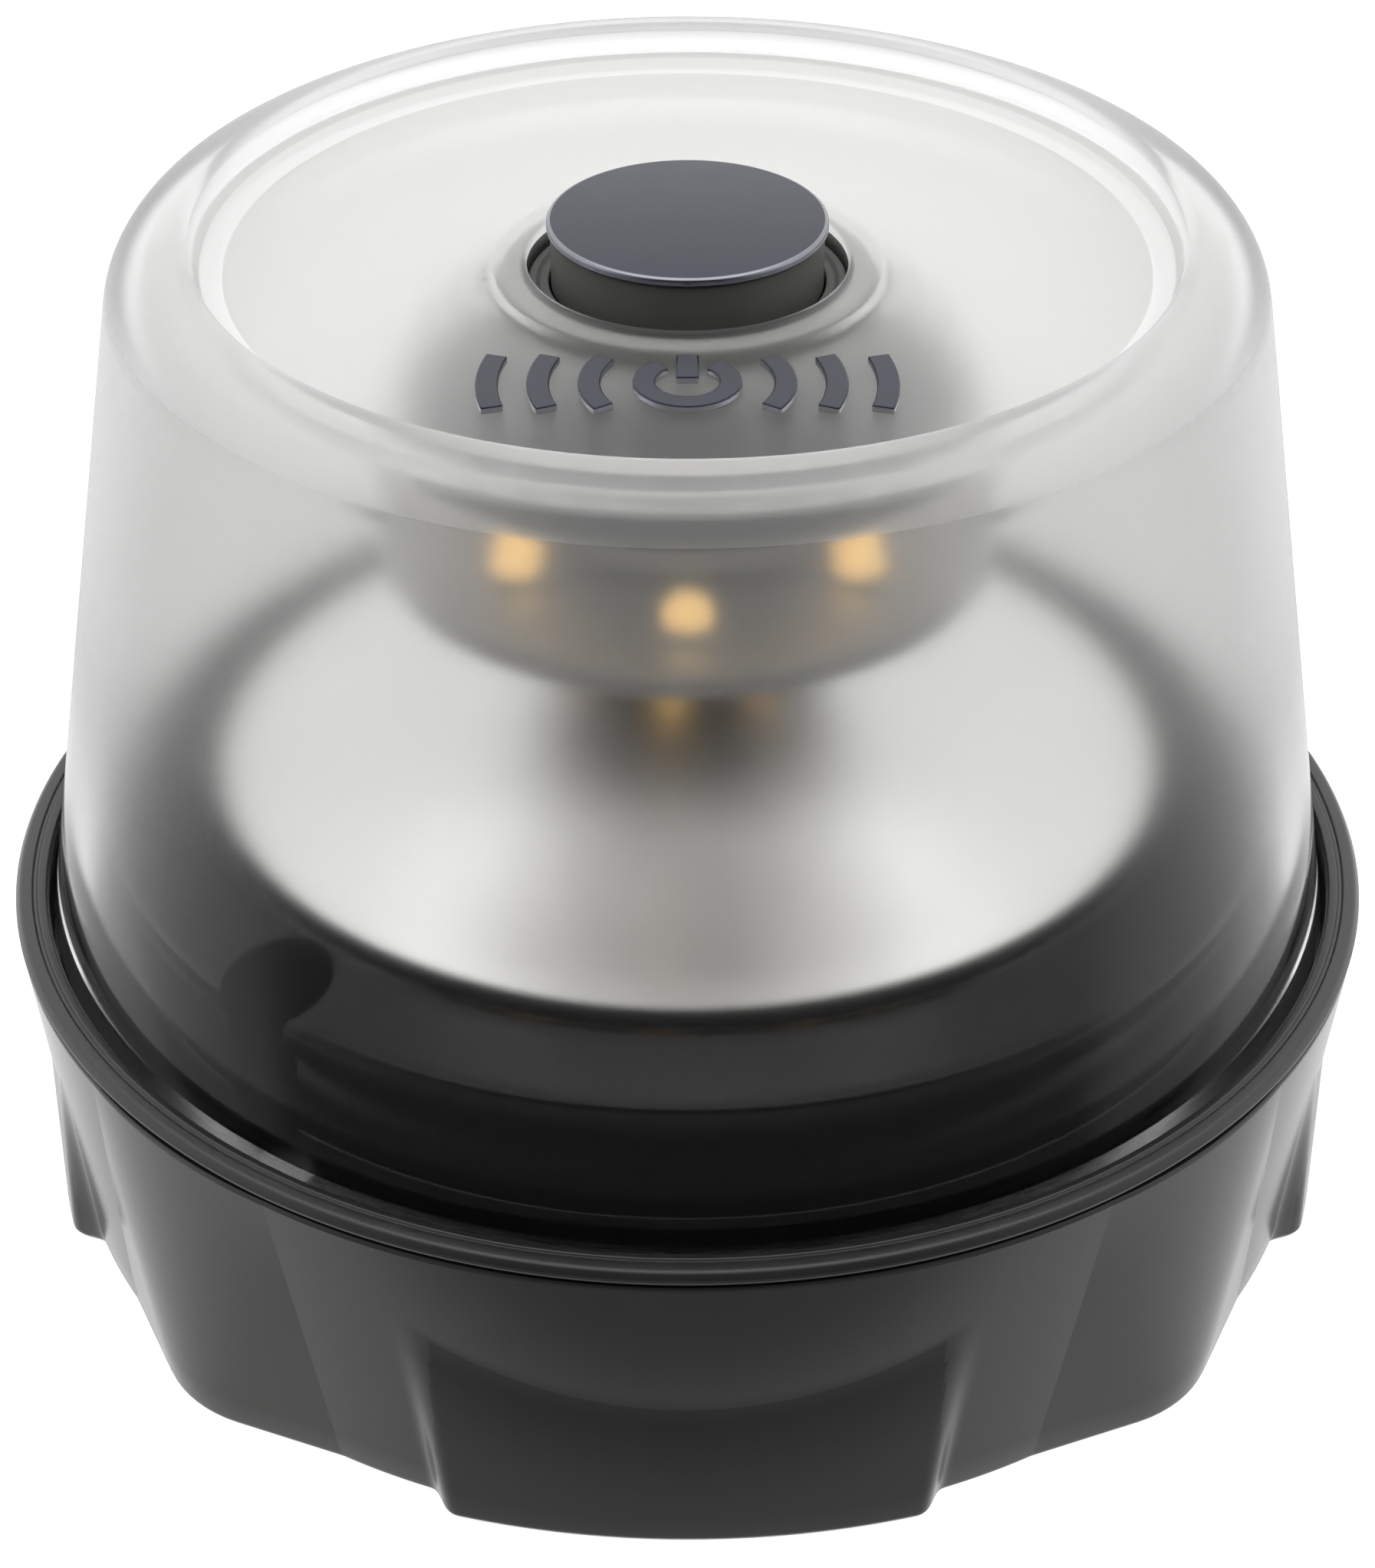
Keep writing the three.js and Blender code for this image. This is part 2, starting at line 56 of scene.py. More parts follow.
RING_LOW, RING_HIGH = box_mm("collar_ring")
RING_R = RING_HIGH.x
CUP_LOW, CUP_HIGH = box_mm("base_cup")
DOME_LOW, DOME_HIGH = box_mm("dome")
CAP_LOW, CAP_HIGH = box_mm("button_cap")
COLUMN_LOW, COLUMN_HIGH = box_mm("centre_column")
BOARD_LOW, BOARD_HIGH = box_mm("led_board")
REFLECTOR_HIGH = box_mm("lower_reflector")[1]
MARK_LOW, MARK_HIGH = box_mm("mark_ring")
FOOT_LOW, FOOT_HIGH = box_mm("foot_pad")


# ---------------------------------------------------------------- mesh helpers, sizes in mm

SHARP_BEND = 32                       # degrees: edges that bend by more than this are kept crisp


def mix(a, b, t):
    return a + (b - a) * t


def shade(work, sharp):
    """Smooth faces, with the edges that bend by more than a number of degrees kept crisp."""
    for face in work.faces:
        face.smooth = True
    for edge in work.edges:
        edge.smooth = len(edge.link_faces) == 2 and edge.calc_face_angle(0) < sharp * DEG


def finish_object(name, mesh, material, sharp=SHARP_BEND):
    work = bmesh.new()
    work.from_mesh(mesh)
    bmesh.ops.recalc_face_normals(work, faces=work.faces)
    shade(work, sharp)
    work.to_mesh(mesh)
    work.free()
    mesh.materials.append(material)
    piece = bpy.data.objects.new(name, mesh)
    bpy.context.scene.collection.objects.link(piece)
    return piece


def finish_mesh(name, verts, faces, material, sharp=SHARP_BEND):
    mesh = bpy.data.meshes.new(name)
    mesh.from_pydata([tuple(Vector(v) * MM) for v in verts], [], faces)
    return finish_object(name, mesh, material, sharp)


def softened(points, closed=True, steps=5):
    """An outline of (r, z) or (r, z, corner radius) points, with its corners rounded."""
    out = []
    count = len(points)
    for i, point in enumerate(points):
        here = Vector(point[:2])
        radius = point[2] if len(point) > 2 else 0
        if not radius or (not closed and i in (0, count - 1)):
            out.append(here)
            continue
        back = Vector(points[i - 1][:2]) - here
        ahead = Vector(points[(i + 1) % count][:2]) - here
        half = back.angle(ahead) / 2
        reach = min(radius / math.tan(half), back.length * 0.49, ahead.length * 0.49)
        centre = here + (back.normalized() + ahead.normalized()).normalized() * (reach / math.cos(half))
        start = here + back.normalized() * reach - centre
        end = here + ahead.normalized() * reach - centre
        sweep = math.atan2(start.x * end.y - start.y * end.x, start.dot(end))
        first = math.atan2(start.y, start.x)
        for k in range(steps + 1):
            a = first + sweep * k / steps
            out.append(centre + start.length * Vector((math.cos(a), math.sin(a))))
    return out


def turned(name, outline, material, closed=True, segments=192, steps=5, sharp=SHARP_BEND, soften=True):
    """A piece turned about Z from its outline in (r, z)."""
    points = softened(outline, closed, steps) if soften else [Vector(p) for p in outline]
    verts = []
    rows = []
    for r, z in points:
        if r < 1e-6:
            rows.append([len(verts)] * segments)
            verts.append((0, 0, z))
            continue
        rows.append(list(range(len(verts), len(verts) + segments)))
        for k in range(segments):
            a = 2 * math.pi * k / segments
            verts.append((r * math.cos(a), r * math.sin(a), z))
    faces = []
    pairs = list(zip(rows, rows[1:])) + ([(rows[-1], rows[0])] if closed else [])
    for low, high in pairs:
        for k in range(segments):
            m = (k + 1) % segments
            corners = [low[k], low[m], high[m], high[k]]
            face = list(dict.fromkeys(corners))
            if len(face) > 2:
                faces.append(face)
    return finish_mesh(name, verts, faces, material, sharp)


def cylinder(name, r, z0, z1, material, segments=64):
    return turned(name, [(0, z0), (r, z0), (r, z1), (0, z1)], material, closed=False, segments=segments)


def block(name, x_range, width, z_range, material):
    """A box between two x and two z, centred in y."""
    work = bmesh.new()
    bmesh.ops.create_cube(work, size=1)
    for vert in work.verts:
        x = mix(*x_range, vert.co.x + 0.5)
        z = mix(*z_range, vert.co.z + 0.5)
        vert.co = Vector((x, vert.co.y * width, z)) * MM
    mesh = bpy.data.meshes.new(name)
    work.to_mesh(mesh)
    work.free()
    return finish_object(name, mesh, material)


def arc_points(r0, z0, radius, start, end, steps):
    """Points along an arc about (r0, z0), from one angle to another."""
    angles = [start + (end - start) * k / steps for k in range(steps + 1)]
    return [(r0 + radius * math.cos(a), z0 + radius * math.sin(a)) for a in angles]


def apply_modifiers(piece):
    deps = bpy.context.evaluated_depsgraph_get()
    mesh = bpy.data.meshes.new_from_object(piece.evaluated_get(deps))
    piece.modifiers.clear()
    piece.data = mesh


def cut_with(piece, tool):
    """Takes the tool's volume out of a piece, and removes the tool."""
    boolean = piece.modifiers.new("cut", "BOOLEAN")
    boolean.operation = "DIFFERENCE"
    boolean.object = tool
    boolean.solver = "EXACT"
    apply_modifiers(piece)
    bpy.data.objects.remove(tool)


def paint(piece, material, wanted):
    """Gives the faces whose middle passes a test another material."""
    piece.data.materials.append(material)
    for polygon in piece.data.polygons:
        if wanted(*(c / MM for c in polygon.center)):
            polygon.material_index = len(piece.data.materials) - 1


def bevel_edges(piece, width, angle=35, segments=3):
    bevel = piece.modifiers.new("edge", "BEVEL")
    bevel.width = width * MM
    bevel.segments = segments
    bevel.limit_method = "ANGLE"
    bevel.angle_limit = angle * DEG
    apply_modifiers(piece)


# ---------------------------------------------------------------- material helpers

NOISE_LOW, NOISE_HIGH = 0.3, 0.7      # the stretch of a noise's range that carries its detail
FROST_IOR = 1.18                      # low, so that frosted plastic blurs without hard glints
FROST_NOISE = 60                      # scale of the cloudiness in see-through plastic
SHADE_DEPTH = 0.985                   # how dark that cloudiness gets
GRAIN_HEIGHT = 0.00003                # metres
BRUSH_HEIGHT = 0.00002
DOME_FADE_Z = (0.023, 0.043)          # metres: the dome's wall gets rougher between these heights
DOME_ROUGH = (0.05, 0.24)
DOME_ROUGH_CLOUD = 0.03
BELL_FADE_Z = (0.051, 0.055)          # metres: the bell gets clearer between these heights
BELL_CLEARNESS = (0.68, 0.92)


def new_material(name):
    material = bpy.data.materials.new(name)
    material.use_nodes = True
    return material, material.node_tree, material.node_tree.nodes["Principled BSDF"]


def noise(tree, scale, detail):
    texture = tree.nodes.new("ShaderNodeTexNoise")
    texture.inputs["Scale"].default_value = scale
    texture.inputs["Detail"].default_value = detail
    place = tree.nodes.new("ShaderNodeTexCoord")
    tree.links.new(place.outputs["Object"], texture.inputs["Vector"])
    return texture.outputs["Fac"]


def ramp(tree, source, start, end, low, high, smooth=True):
    """Maps a stretch of a value to a range, and returns the output."""
    node = tree.nodes.new("ShaderNodeMapRange")
    node.interpolation_type = "SMOOTHSTEP" if smooth else "LINEAR"
    node.inputs["From Min"].default_value = start
    node.inputs["From Max"].default_value = end
    node.inputs["To Min"].default_value = low
    node.inputs["To Max"].default_value = high
    tree.links.new(source, node.inputs["Value"])
    return node.outputs["Result"]


def axis(tree, name, coord="Object"):
    """One coordinate of the place that is being shaded."""
    place = tree.nodes.new("ShaderNodeTexCoord")
    split = tree.nodes.new("ShaderNodeSeparateXYZ")
    tree.links.new(place.outputs[coord], split.inputs["Vector"])
    return split.outputs[name]


def spread(tree, source, low, high, socket):
    """Spreads a noise over a range and plugs it into a socket."""
    tree.links.new(ramp(tree, source, NOISE_LOW, NOISE_HIGH, low, high, smooth=False), socket)


def tint(tree, source, dark, light, socket):
    """Spreads a noise between two colours and plugs it into a socket."""
    node = tree.nodes.new("ShaderNodeValToRGB")
    first, last = node.color_ramp.elements
    first.position = NOISE_LOW
    last.position = NOISE_HIGH
    first.color = (*dark, 1)
    last.color = (*light, 1)
    tree.links.new(source, node.inputs["Fac"])
    tree.links.new(node.outputs["Color"], socket)


def grain(tree, shader, scale, strength, distance):
    bump = tree.nodes.new("ShaderNodeBump")
    bump.inputs["Strength"].default_value = strength
    bump.inputs["Distance"].default_value = distance
    tree.links.new(noise(tree, scale, 3), bump.inputs["Height"])
    tree.links.new(bump.outputs["Normal"], shader.inputs["Normal"])


def moulded(name, dark, light, rough, specular, scale=3200, strength=0.15):
    """A moulded plastic or rubber, with a fine grain."""
    material, tree, shader = new_material(name)
    cloud = noise(tree, 90, 5)
    tint(tree, cloud, dark, light, shader.inputs["Base Color"])
    spread(tree, cloud, *rough, shader.inputs["Roughness"])
    shader.inputs["Specular IOR Level"].default_value = specular
    grain(tree, shader, scale, strength, GRAIN_HEIGHT)
    return material


def see_through(name, colour, ior, specular, weight):
    """A see-through plastic, a little cloudy. Its roughness is still to be plugged in."""
    material, tree, shader = new_material(name)
    cloud = noise(tree, FROST_NOISE, 3)
    tint(tree, cloud, [c * SHADE_DEPTH for c in colour], colour, shader.inputs["Base Color"])
    shader.inputs["IOR"].default_value = ior
    shader.inputs["Specular IOR Level"].default_value = specular
    shader.inputs["Transmission Weight"].default_value = weight
    return material, tree, shader, cloud


def frosted(name, colour, rough, weight=1.0):
    material, tree, shader, cloud = see_through(name, colour, FROST_IOR, 0.0, weight)
    spread(tree, cloud, *rough, shader.inputs["Roughness"])
    return material


def dome_plastic():
    """The dome's wall: frosted, and smoother where it meets the deck."""
    material, tree, shader, cloud = see_through("clear_dome", (0.7, 0.7, 0.696), FROST_IOR, 0.0, 1.0)
    vary = tree.nodes.new("ShaderNodeMath")
    vary.operation = "MULTIPLY_ADD"
    tree.links.new(cloud, vary.inputs[0])
    vary.inputs[1].default_value = DOME_ROUGH_CLOUD
    tree.links.new(ramp(tree, axis(tree, "Z"), *DOME_FADE_Z, *DOME_ROUGH), vary.inputs[2])
    tree.links.new(vary.outputs["Value"], shader.inputs["Roughness"])
    return material


def bell_plastic():
    """The light head's shell: milky round the LEDs, clearer towards the button."""
    material, tree, shader, cloud = see_through("head_clear", (0.99, 0.99, 0.985), 1.2, 0.2, 1.0)
    spread(tree, cloud, 0.11, 0.15, shader.inputs["Roughness"])
    clearness = ramp(tree, axis(tree, "Z"), *BELL_FADE_Z, *BELL_CLEARNESS, smooth=False)
    tree.links.new(clearness, shader.inputs["Transmission Weight"])
    return material


def metal(name, dark, light, rough, scale=400):
    material, tree, shader = new_material(name)
    cloud = noise(tree, scale, 4)
    tint(tree, cloud, dark, light, shader.inputs["Base Color"])
    spread(tree, cloud, *rough, shader.inputs["Roughness"])
    shader.inputs["Metallic"].default_value = 1.0
    grain(tree, shader, 4000, 0.05, BRUSH_HEIGHT)
    return material


def glowing(name):
    material, tree, shader = new_material(name)
    cloud = noise(tree, 700, 2)
    tint(tree, cloud, (1.0, 0.5, 0.1), (1.0, 0.62, 0.18), shader.inputs["Base Color"])
    tint(tree, cloud, (1.0, 0.6, 0.19), (1.0, 0.68, 0.25), shader.inputs["Emission Color"])
    shader.inputs["Emission Strength"].default_value = 2.3
    shader.inputs["Roughness"].default_value = 0.3
    return material


# ---------------------------------------------------------------- materials: two colours, then roughness

CUP = moulded("black_shell", (0.0115, 0.0112, 0.01), (0.0155, 0.0151, 0.0135), (0.18, 0.22), 0.36)
PAD = moulded("black_pad", (0.0025, 0.0025, 0.0022), (0.004, 0.004, 0.0036), (0.22, 0.28), 0.3)
RING = moulded("black_ring", (0.014, 0.014, 0.0135), (0.02, 0.0195, 0.019), (0.28, 0.34), 0.38)
INNER = moulded("black_inner", (0.004, 0.004, 0.0038), (0.006, 0.006, 0.0057), (0.17, 0.22), 0.24)
RUBBER = moulded("rubber", (0.01, 0.01, 0.01), (0.016, 0.016, 0.0155), (0.7, 0.85), 0.3, 1800, 0.4)
CLEAR = dome_plastic()
LIP = frosted("milky_lip", (0.74, 0.74, 0.735), (0.3, 0.33), 0.86)
FROST = frosted("frosted_top", (0.89, 0.89, 0.885), (0.36, 0.4))
# frosted, and whiter and partly diffuse on the lip's rounded edge: a painted highlight
MILK_HIGHLIGHT = frosted("frosted_lip_highlight", (0.97, 0.97, 0.965), (0.36, 0.4), 0.82)
SMOKE = moulded("smoked_grey", (0.29, 0.29, 0.28), (0.33, 0.33, 0.318), (0.4, 0.5), 0.3)
HEAD = bell_plastic()
# a darker grey painted in the button's well and on the cap's body as shade
WELL_SHADE = moulded("well_shade_grey", (0.075, 0.075, 0.072), (0.095, 0.095, 0.091), (0.5, 0.6), 0.2)
BOARD_TOP = metal("board_foil", (0.9, 0.9, 0.895), (0.94, 0.94, 0.935), (0.45, 0.52), 300)
SEAL = moulded("grey_seal", (0.07, 0.07, 0.068), (0.09, 0.09, 0.087), (0.6, 0.7), 0.3, 1800, 0.3)
SLATE = metal("slate_metal", (0.029, 0.031, 0.042), (0.034, 0.036, 0.049), (0.3, 0.36))
# a brighter metal for the marks' sides: a painted highlight
EDGE_HIGHLIGHT = metal("painted_edge_highlight", (0.34, 0.34, 0.37), (0.4, 0.4, 0.43), (0.2, 0.26))
# a brighter metal for the cap plate's rounded edge: a painted highlight
CAP_EDGE_HIGHLIGHT = metal("cap_edge_highlight", (0.17, 0.175, 0.2), (0.2, 0.205, 0.23), (0.18, 0.24))
SILVER = metal("reflector", (0.9, 0.9, 0.895), (0.94, 0.94, 0.935), (0.33, 0.38), 120)
STEEL = metal("magnet_steel", (0.5, 0.5, 0.5), (0.6, 0.6, 0.6), (0.25, 0.35))
BRASS = metal("brass_contact", (0.6, 0.42, 0.18), (0.7, 0.5, 0.24), (0.25, 0.35))
COPPER = metal("copper_coil", (0.5, 0.2, 0.09), (0.62, 0.28, 0.13), (0.25, 0.4), 1500)
DARK_BOARD = moulded("dark_board", (0.012, 0.014, 0.013), (0.02, 0.024, 0.021), (0.4, 0.5), 0.4)
BOARD = moulded("circuit_board", (0.01, 0.07, 0.03), (0.015, 0.1, 0.04), (0.35, 0.5), 0.5)
WHITE = moulded("white_board", (0.72, 0.72, 0.7), (0.8, 0.8, 0.78), (0.25, 0.35), 0.5)
CHIP = moulded("chip", (0.015, 0.015, 0.016), (0.025, 0.025, 0.026), (0.4, 0.55), 0.4)
BATTERY = moulded("battery_case", (0.02, 0.03, 0.04), (0.03, 0.04, 0.055), (0.25, 0.4), 0.5)
AMBER = glowing("amber_led")


# ---------------------------------------------------------------- base cup

CORNER_NORMAL = 21.5 * DEG            # a corner lobe's flat faces turn this far from its middle
CREASE = {"low": 14.3, "high": 10.5}  # degrees from a lobe's middle, at the underside and the seam
LOBE_PEAK = {"low": 42.4, "high": 42.98}
PAD_FACE_R = 41.62                    # middle of a grip pad's face
PAD_RISE = 0.37                       # how much further out the face is 20 degrees to its side
PAD_EDGE = {"low": 20.6, "high": 22.6, "flank": 3.7}
FLANK_LEAD = 1.95                     # degrees that a pad's flank starts before its edge
CUP_FLOOR_R = 40.3
CUP_RIM_R = 42.85
SEAM_Z = CUP_HIGH.z + 0.1
FOOT_ROUND = 0.8                      # rounding of the cup's lower edge
RIM_ROUND = 0.3
MAGNET_POCKET_R, MAGNET_BOSS_R = 15.4, 17.4
POCKET_ROOF_Z, BOSS_TOP_Z = 4.3, 5.3
RECESS_ROOF_Z = 1.3
INSIDE_FLOOR_Z = 3.2
REBATE_R, REBATE_Z = 41.6, 18.3
INSIDE_R = 38.2
PAD_STEPS, FLANK_STEPS, CONE_STEPS, LOBE_STEPS = 14, 12, 8, 14
EIGHTH_STEPS = PAD_STEPS + FLANK_STEPS + CONE_STEPS + LOBE_STEPS


def cone_r(z):
    return mix(CUP_FLOOR_R, CUP_RIM_R, z / SEAM_Z)


def pad_r(degrees):
    return PAD_FACE_R + PAD_RISE * (degrees / 20) ** 2


def pad_top_z(degrees):
    return (pad_r(degrees) - CUP_FLOOR_R) * SEAM_Z / (CUP_RIM_R - CUP_FLOOR_R)


def crease_degrees(z):
    """Angle from a corner lobe's middle to the crease where its flat face sinks into the cone."""
    return mix(CREASE["low"], CREASE["high"], z / SEAM_Z)


def corner_r(degrees_off, z):
    """A corner lobe's section: a round nose between two flat faces turned CORNER_NORMAL from its middle."""
    peak = mix(LOBE_PEAK["low"], LOBE_PEAK["high"], z / SEAM_Z)
    cone = cone_r(z)
    crease = crease_degrees(z) * DEG
    centre = (peak - cone * math.cos(CORNER_NORMAL - crease)) / (1 - math.cos(CORNER_NORMAL))
    radius = peak - centre
    touch = math.atan2(radius * math.sin(CORNER_NORMAL), centre + radius * math.cos(CORNER_NORMAL))
    if touch > crease:
        centre = (peak ** 2 - cone ** 2) / (2 * (peak - cone * math.cos(crease)))
        radius = peak - centre
    a = abs(degrees_off) * DEG
    if a < min(touch, crease) or touch > crease:
        return centre * math.cos(a) + math.sqrt(radius ** 2 - (centre * math.sin(a)) ** 2)
    return (centre * math.cos(CORNER_NORMAL) + radius) / math.cos(max(CORNER_NORMAL - a, 0))


def diagonal_degrees(z):
    return 45 - crease_degrees(z)


def ease(t):
    """Goes from 0 to 1 without a kink at either end."""
    t = min(max(t, 0), 1)
    return t * t * t * (t * (6 * t - 15) + 10)


def cup_stations(z):
    """Angles from a pad's middle towards a corner lobe's middle, denser where the shape bends."""
    edge = mix(PAD_EDGE["low"], PAD_EDGE["high"], min(z / pad_top_z(PAD_EDGE["high"]), 1))
    start = edge - FLANK_LEAD
    rest = start + PAD_EDGE["flank"]
    diagonal = diagonal_degrees(z)
    angles = [start * k / PAD_STEPS for k in range(PAD_STEPS)]
    angles += [start + PAD_EDGE["flank"] * k / FLANK_STEPS for k in range(FLANK_STEPS)]
    angles += [mix(rest, diagonal, k / CONE_STEPS) for k in range(CONE_STEPS)]
    angles += [mix(diagonal, 45, k / LOBE_STEPS) for k in range(LOBE_STEPS)]
    return angles, start


def cup_surface_r(degrees, start, z):
    on_lobe = degrees >= diagonal_degrees(z) - 0.001
    skin = max(cone_r(z), corner_r(45 - degrees, z)) if on_lobe else cone_r(z)
    proud = max(pad_r(min(degrees, PAD_EDGE["high"])) - cone_r(z), 0)
    return max(skin, cone_r(z) + proud * (1 - ease((degrees - start) / PAD_EDGE["flank"])))


def cup_ring(height_at, inset=0.0):
    """One loop round the cup: eight mirrored stretches from a pad's middle to a lobe's middle."""
    angles, start = cup_stations(height_at(PAD_EDGE["high"]))
    ring = []
    for eighth in range(8):
        mirrored = eighth % 2 == 1
        stretch = list(reversed(angles + [45]))[:-1] if mirrored else angles
        for degrees in stretch:
            z = height_at(degrees)
            turn = (eighth * 45 + (45 - degrees if mirrored else degrees) - 90) * DEG
            r = cup_surface_r(degrees, start, z) - inset
            ring.append((r * math.cos(turn), r * math.sin(turn), z))
    return ring


def level(z):
    return lambda degrees: z


def between(low_at, high_at, t):
    return lambda degrees: mix(low_at(degrees), high_at(degrees), t)


def cup_outside():
    """Loops up the outside: the rounded foot, the pads, the cone above them and the rounded rim."""
    foot_at = level(CUP_LOW.z + FOOT_ROUND)
    rim_at = level(CUP_HIGH.z - RIM_ROUND)

    def top_at(degrees):
        return pad_top_z(min(degrees, PAD_EDGE["high"]))

    loops = []
    for k in range(5):
        a = k / 4 * math.pi / 2
        rounded = level(CUP_LOW.z + FOOT_ROUND * (1 - math.cos(a)))
        loops.append(cup_ring(rounded, FOOT_ROUND * (1 - math.sin(a))))
    loops += [cup_ring(between(foot_at, top_at, k / 8)) for k in range(1, 8)]
    loops.append(cup_ring(top_at))
    loops += [cup_ring(between(top_at, rim_at, k / 10)) for k in range(1, 10)]
    for k in range(4):
        a = k / 3 * math.pi / 2
        rounded = level(CUP_HIGH.z - RIM_ROUND + RIM_ROUND * math.sin(a))
        loops.append(cup_ring(rounded, RIM_ROUND * (1 - math.cos(a))))
    return loops


def on_pad(x, y, z):
    turn = abs((math.degrees(math.atan2(y, x)) + 45) % 90 - 45)
    return turn < PAD_EDGE["low"] and z < pad_top_z(turn) and math.hypot(x, y) > CUP_FLOOR_R - 0.1


def mark_creases(mesh, count):
    """Keeps the creases beside the lobes crisp, all the way down the cup."""
    pad_first = PAD_STEPS + FLANK_STEPS + CONE_STEPS
    creases = {eighth * EIGHTH_STEPS + (LOBE_STEPS if eighth % 2 else pad_first) for eighth in range(8)}
    work = bmesh.new()
    work.from_mesh(mesh)
    for edge in work.edges:
        spots = {(vert.index - 1) % count for vert in edge.verts}
        if len(spots) == 1 and spots & creases:
            edge.smooth = False
    work.to_mesh(mesh)
    work.free()


def make_cup():
    outside = cup_outside()
    spokes = [math.atan2(y, x) for x, y, z in outside[0]]

    def circle(r, z):
        return [(r * math.cos(a), r * math.sin(a), z) for a in spokes]

    recess_r = FOOT_HIGH.x + 0.3
    under = [circle(MAGNET_POCKET_R, POCKET_ROOF_Z), circle(MAGNET_POCKET_R, RECESS_ROOF_Z)]
    under += [circle(recess_r, RECESS_ROOF_Z), circle(recess_r, CUP_LOW.z + 0.2)]
    under.append(circle(recess_r + 0.2, CUP_LOW.z))
    inside = [circle(REBATE_R, CUP_HIGH.z), circle(REBATE_R, REBATE_Z), circle(INSIDE_R, REBATE_Z)]
    inside += [circle(INSIDE_R, INSIDE_FLOOR_Z + 1), circle(INSIDE_R - 1, INSIDE_FLOOR_Z)]
    inside += [circle(MAGNET_BOSS_R, INSIDE_FLOOR_Z), circle(MAGNET_BOSS_R, BOSS_TOP_Z)]
    rings = under + outside + inside
    n = len(spokes)
    verts = [(0, 0, POCKET_ROOF_Z)] + [v for ring in rings for v in ring] + [(0, 0, BOSS_TOP_Z)]
    last = len(verts) - 1
    faces = []
    for i in range(n):
        j = (i + 1) % n
        faces.append((0, 1 + j, 1 + i))
        faces.append((last, last - n + i, last - n + j))
        for k in range(len(rings) - 1):
            a = 1 + k * n
            faces.append((a + i, a + j, a + n + j, a + n + i))
    cup = finish_mesh("cup_shell", verts, faces, CUP, sharp=14)
    paint(cup, PAD, on_pad)
    mark_creases(cup.data, n)
    return cup


LUG_COUNT = 3
LUG_TURN = 0.5                        # radians from +X to the first lug
LUG_R = (37.2, 38.5)
LUG_Z = (16.2, 17.6)
LUG_WIDTH = 10


def make_lugs():
    """The bayonet's catches inside the cup's rim."""
    lugs = []
    for k in range(LUG_COUNT):
        lug = block(f"cup_lug_{k + 1}", LUG_R, LUG_WIDTH, LUG_Z, CUP)
        bevel_edges(lug, 0.25)
        lug.rotation_euler.z = LUG_TURN + k * 2 * math.pi / LUG_COUNT
        lugs.append(lug)
    return lugs


cup = make_cup()
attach(cup, "base")
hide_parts("base_cup")
for lug in make_lugs():
    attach(lug, "base")


# ---------------------------------------------------------------- foot

GROOVE_PITCH = 4.2
GROOVE_DEPTH = 0.35


def make_foot():
    """A rubber disc with round grooves across its underside."""
    outline = [(0, 0.0)]
    r = 3.0
    while r + 1.4 < FOOT_HIGH.x - 2:
        outline += [(r, 0, 0.1), (r + 0.25, GROOVE_DEPTH, 0.1)]
        outline += [(r + 0.95, GROOVE_DEPTH, 0.1), (r + 1.2, 0, 0.1)]
        r += GROOVE_PITCH
    outline += [(FOOT_HIGH.x, 0, 0.35), (FOOT_HIGH.x, FOOT_HIGH.z, 0.2), (0, FOOT_HIGH.z)]
    return turned("foot_rubber", outline, RUBBER, closed=False, segments=128, steps=3)


foot = make_foot()
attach(foot, "base")
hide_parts("foot_pad")


# ---------------------------------------------------------------- collar ring

def make_ring():
    """The collar, with a fine groove round its top."""
    top = RING_HIGH.z
    groove = top - 0.14
    outline = [
        (40.85, 18.6), (41.3, 18.6, 0.15), (41.3, 21.35, 0.1), (42.75, 21.3, 0.2), (42.98, 21.62, 0.35),
        (42.62, top, 0.35), (41.9, top, 0.12), (41.78, groove, 0.05), (41.6, groove, 0.05),
        (41.5, top, 0.12), (41.0, top - 0.12, 0.15), (40.85, 21.8, 0.1),
    ]
    return turned("collar", outline, RING, segments=256, steps=4, sharp=50)


ring = make_ring()
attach(ring, "head")
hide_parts("collar_ring")


# ---------------------------------------------------------------- dome

DOME_WALL = 2.1
SHOULDER_ROUND = 4.58
SHOULDER_R, SHOULDER_Z = 34.02, 61.8  # where the wall's slope runs into the shoulder
FLAT_TOP_Z, FLAT_UNDER_Z = 63.1, 61.1
WEB_R, WEB_Z = 11.6, 62.6             # the flat thins to a web over the bezel
HOLE_R = 9.42
LIP_IN_R, LIP_MID_R, LIP_OUT_R = 26.9, 28.3, 28.9


